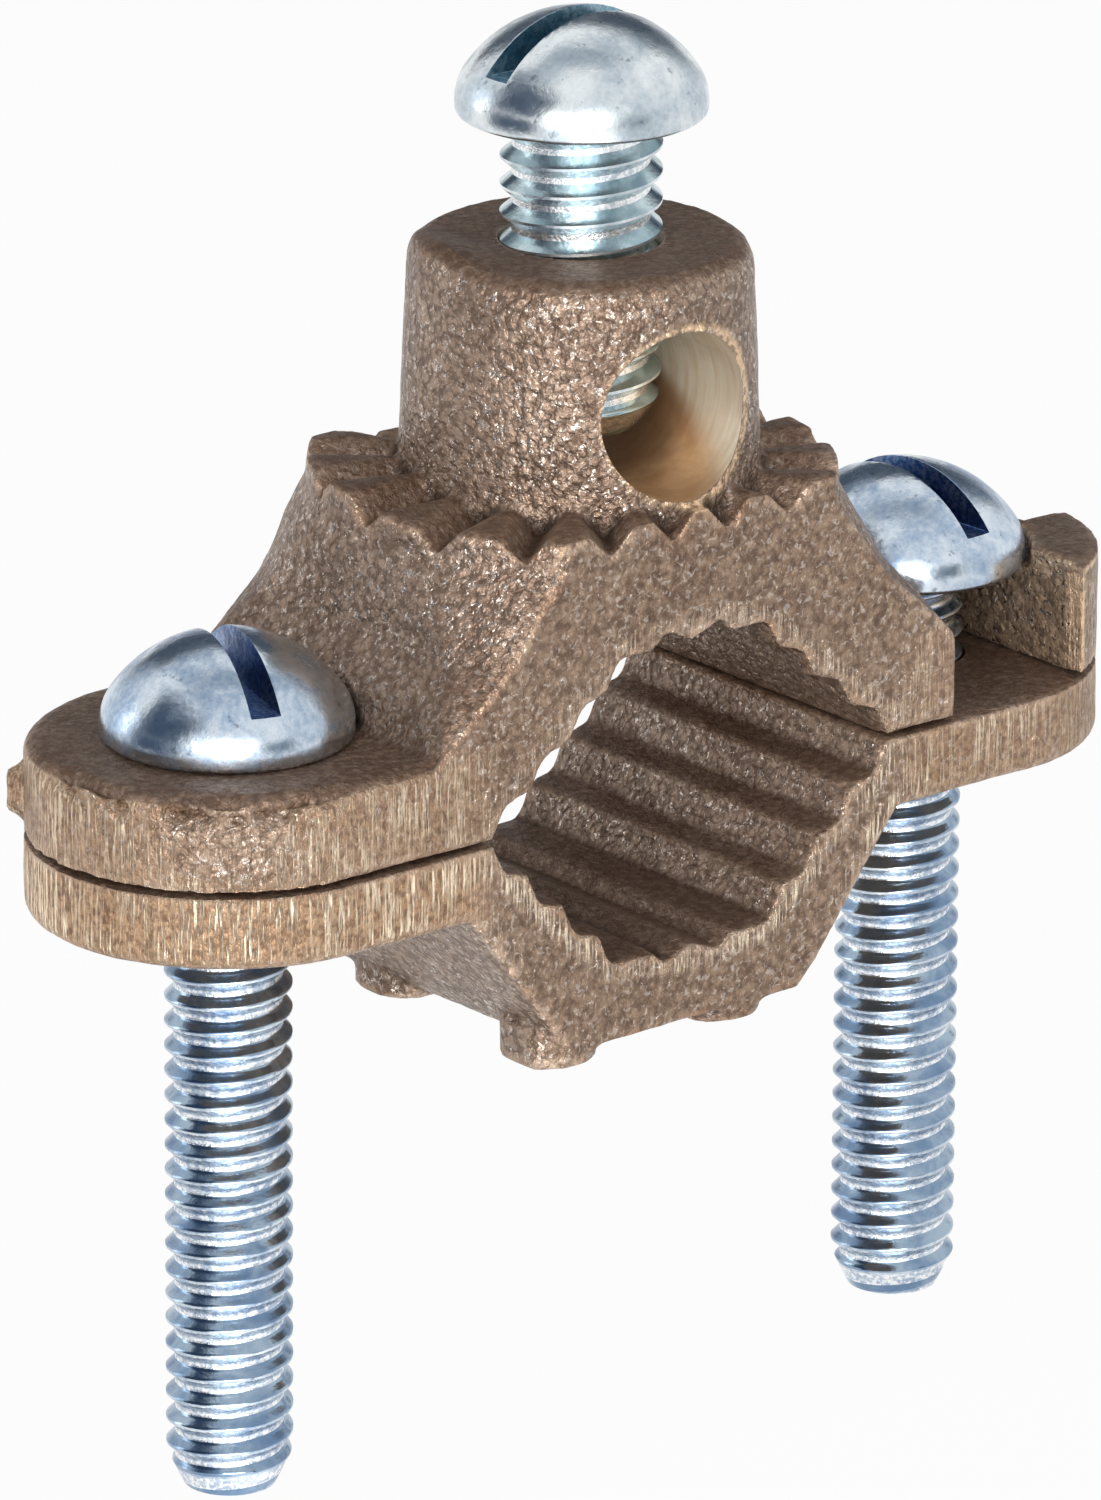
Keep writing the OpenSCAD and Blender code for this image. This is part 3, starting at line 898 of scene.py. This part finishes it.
wireThread = {
    "Crest Radius": 3.92,
    "Root Radius": 3.35,
    "Pitch": 1.411,
    "Length": 15.45,
    "Tip Radius": 2.9,
    "Tip Bevel": 1.6,
    "Steps": 56,
}

screwPieces = {
    "leftScrew": {
        "node": "left_clamp_screw", "body": "left_screw", "thread": clampThread, "axis": (-screwX, 0.0),
        "seat": 4.65, "slotTurn": 72.0, "threadTurn": 85.0, "finish": "blueZinc", "shadedSlotFinish": "shadedSlotBlue",
    },
    "rightScrew": {
        "node": "right_clamp_screw", "body": "right_screw", "thread": clampThread, "axis": (screwX, 0.0),
        "seat": 4.65, "slotTurn": 94.0, "threadTurn": 27.0, "finish": "blueZinc", "shadedSlotFinish": "shadedSlotBlue",
    },
    "wireScrew": {
        "node": "wire_screw", "body": "set_screw", "thread": wireThread, "axis": (lugX, 0.0),
        "seat": 31.45, "slotTurn": 0.0, "threadTurn": 164.0, "finish": "paleZinc", "shadedSlotFinish": "shadedSlotTeal",
    },
}


def threadTree():
    tree, takes, gives = newTree("rolledThread", "GeometryNodeTree", {
        "Geometry": ("Geometry",),
        "Float": ("Crest Radius", "Root Radius", "Pitch", "Length",
                  "Tip Radius", "Tip Bevel", "Start Turn"),
        "Vector": ("Axis",),
        "Int": ("Steps",),
        "Material": ("Material",)}, {"Geometry": ("Geometry",)})

    # A strip, one pitch wide, is wound up the screw
    turns = total(tree, calc(tree, "CEIL", calc(tree, "DIVIDE", takes["Length"], takes["Pitch"])), 1.0)
    along = total(tree, product(tree, turns, takes["Steps"]), 1.0)
    strip = place(tree, "GeometryNodeMeshGrid", {
        "Size X": 1.0, "Size Y": 1.0, "Vertices X": along, "Vertices Y": 13}).outputs["Mesh"]
    at = split(tree, place(tree, "GeometryNodeInputPosition").outputs[0])
    turned = product(tree, total(tree, at["X"], 0.5), turns)
    angle = product(tree, turned, math.tau)
    half = less(tree, product(tree, total(tree, at["Y"], 0.5), 2.0), 1.0)
    off = calc(tree, "POWER", absolute(tree, half), 1.3)                 # crest 0, root 1
    shifted = product(tree, off, calc(tree, "SIGN", half), 0.5)
    climb = product(tree, total(tree, less(tree, turned, 0.5), shifted), takes["Pitch"])
    climb = calc(tree, "MINIMUM", largest(tree, climb, 0.0), takes["Length"])

    # Flat crest, straight flanks and flat root, cut back at the tip and under the head
    peak = ramp(tree, off, 0.79, 0.097, smooth=False)
    depth = less(tree, takes["Crest Radius"], takes["Root Radius"])
    radius = total(tree, takes["Root Radius"], product(tree, depth, peak))
    slope = calc(tree, "DIVIDE", less(tree, takes["Crest Radius"], takes["Tip Radius"]), takes["Tip Bevel"])
    cone = total(tree, takes["Tip Radius"], product(tree, climb, slope))
    neck = total(tree, takes["Tip Radius"], product(tree, less(tree, takes["Length"], climb), 8.0))
    radius = calc(tree, "MINIMUM", radius, calc(tree, "MINIMUM", cone, neck))
    spot = join(tree, X=product(tree, radius, calc(tree, "COSINE", angle)),
                Y=product(tree, radius, calc(tree, "SINE", angle)), Z=climb)
    upper = product(tree, calc(tree, "GREATER_THAN", half, 0.17), calc(tree, "LESS_THAN", half, 0.83))
    crest = calc(tree, "LESS_THAN", absolute(tree, half), 0.17)
    strip = storeMasks(tree, strip, {
        "threadFlank": upper, "threadRoot": less(tree, less(tree, 1.0, upper), crest)}, "FACE")
    wound = place(tree, "GeometryNodeSetPosition", {"Geometry": strip, "Position": spot})

    # Both ends are closed by a disc
    disc = place(tree, "GeometryNodeMeshCircle", {
        "Vertices": takes["Steps"], "Radius": takes["Tip Radius"]}, fill_type="TRIANGLE_FAN")
    tip = place(tree, "GeometryNodeFlipFaces", {"Mesh": disc.outputs[0]})
    top = place(tree, "GeometryNodeTransform", {
        "Geometry": disc.outputs[0], "Translation": join(tree, Z=takes["Length"])})
    both = place(tree, "GeometryNodeJoinGeometry")
    for part in (wound, tip, top):
        tree.links.new(part.outputs[0], both.inputs[0])
    closed = place(tree, "GeometryNodeMergeByDistance", {"Geometry": both.outputs[0], "Distance": 0.004})
    smooth = place(tree, "GeometryNodeSetShadeSmooth", {"Geometry": closed.outputs[0]})
    moved = place(tree, "GeometryNodeTransform", {
        "Geometry": smooth.outputs[0], "Translation": takes["Axis"],
        "Rotation": join(tree, Z=takes["Start Turn"])})
    feed(tree, gives["Geometry"], dress(tree, moved.outputs[0], takes["Material"]))
    return tree


def headProfile(seat):
    radius, height, edge, rim, shoulder = (
        screwHead[k] for k in ("radius", "height", "edge", "rim", "shoulder"))
    edgeSteps, arcSteps = screwHead["edgeSteps"], screwHead["arcSteps"]
    inner = radius - shoulder
    dome = height - rim
    crown = (inner ** 2 + dome ** 2 - shoulder ** 2) / (2 * (dome - shoulder))
    meet = math.atan2(crown - dome, inner)          # slope where the two arcs touch
    points = [(0.0, seat), (2.0, seat), (radius - edge, seat)]
    for k in range(1, edgeSteps + 1):
        bend = math.radians(90 * k / edgeSteps)
        points.append((radius - edge + edge * math.sin(bend), seat + edge - edge * math.cos(bend)))
    for k in range(arcSteps + 1):
        bend = meet * k / arcSteps
        points.append((inner + shoulder * math.cos(bend), seat + rim + shoulder * math.sin(bend)))
    for k in range(1, arcSteps + 1):
        bend = meet + (math.pi / 2 - meet) * k / arcSteps
        points.append((crown * math.cos(bend), seat + height - crown + crown * math.sin(bend)))
    return points


def headMesh(name, axis, seat, slotTurn, finish, shadedSlotFinish):
    bm = bmesh.new()
    lathe(bm, headProfile(seat), screwHead["segments"], axis)
    bmesh.ops.recalc_face_normals(bm, faces=bm.faces)
    head = newObject(name, toMesh(bm, name, finish))

    bm = bmesh.new()
    slotTall = 6.0
    bmesh.ops.create_cube(bm, size=1.0)
    bmesh.ops.scale(bm, verts=bm.verts, vec=(screwHead["radius"] * 3, screwHead["slotWidth"], slotTall))
    bmesh.ops.translate(bm, verts=bm.verts, vec=(0, 0, slotTall / 2))
    slotFloor = seat + screwHead["height"] - screwHead["slotDepth"]
    bm.transform(Matrix.Translation((*axis, slotFloor)) @ Matrix.Rotation(math.radians(slotTurn), 4, "Z"))
    # The slot's faces take the darker slot plate: painted shade
    slot = newObject(name + "Slot", toMesh(bm, name + "Slot", shadedSlotFinish))
    cut(head, slot)
    soft = head.modifiers.new("slotEdge", "BEVEL")
    soft.width = screwHead["slotBevel"]
    soft.segments = 3
    soft.limit_method = "ANGLE"
    soft.angle_limit = math.radians(40)
    made = plainMesh(head)
    bpy.data.objects.remove(slot)
    bpy.data.objects.remove(head)
    return made


def buildScrew(name, values):
    axis, seat, sizes = values["axis"], values["seat"], values["thread"]
    finish, shadedSlotFinish = zinc[values["finish"]], zinc[values["shadedSlotFinish"]]
    screw = newObject(name, bpy.data.meshes.new(name))
    addTree(screw, thread, {
        **sizes, "Start Turn": math.radians(values["threadTurn"]),
        "Axis": (*axis, seat - sizes["Length"]), "Material": finish})
    bm = bmesh.new()
    bm.from_mesh(plainMesh(screw))
    for face in bm.faces:
        face.material_index = 0
    bm.from_mesh(headMesh(name + "Head", axis, seat, values["slotTurn"], finish, shadedSlotFinish))
    mesh = toMesh(bm, name, finish, shadedSlotFinish)
    mesh.shade_smooth()
    mesh.set_sharp_from_angle(angle=math.radians(screwHead["sharp"]))
    mesh.transform(Matrix.Scale(mm, 4))
    screw.data = mesh
    print(name, len(mesh.polygons), "faces")
    return screw


thread = threadTree()
for name, values in screwPieces.items():
    screw = buildScrew(name, values)
    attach(screw, values["body"])
    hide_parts(values["node"])
print("screws done")
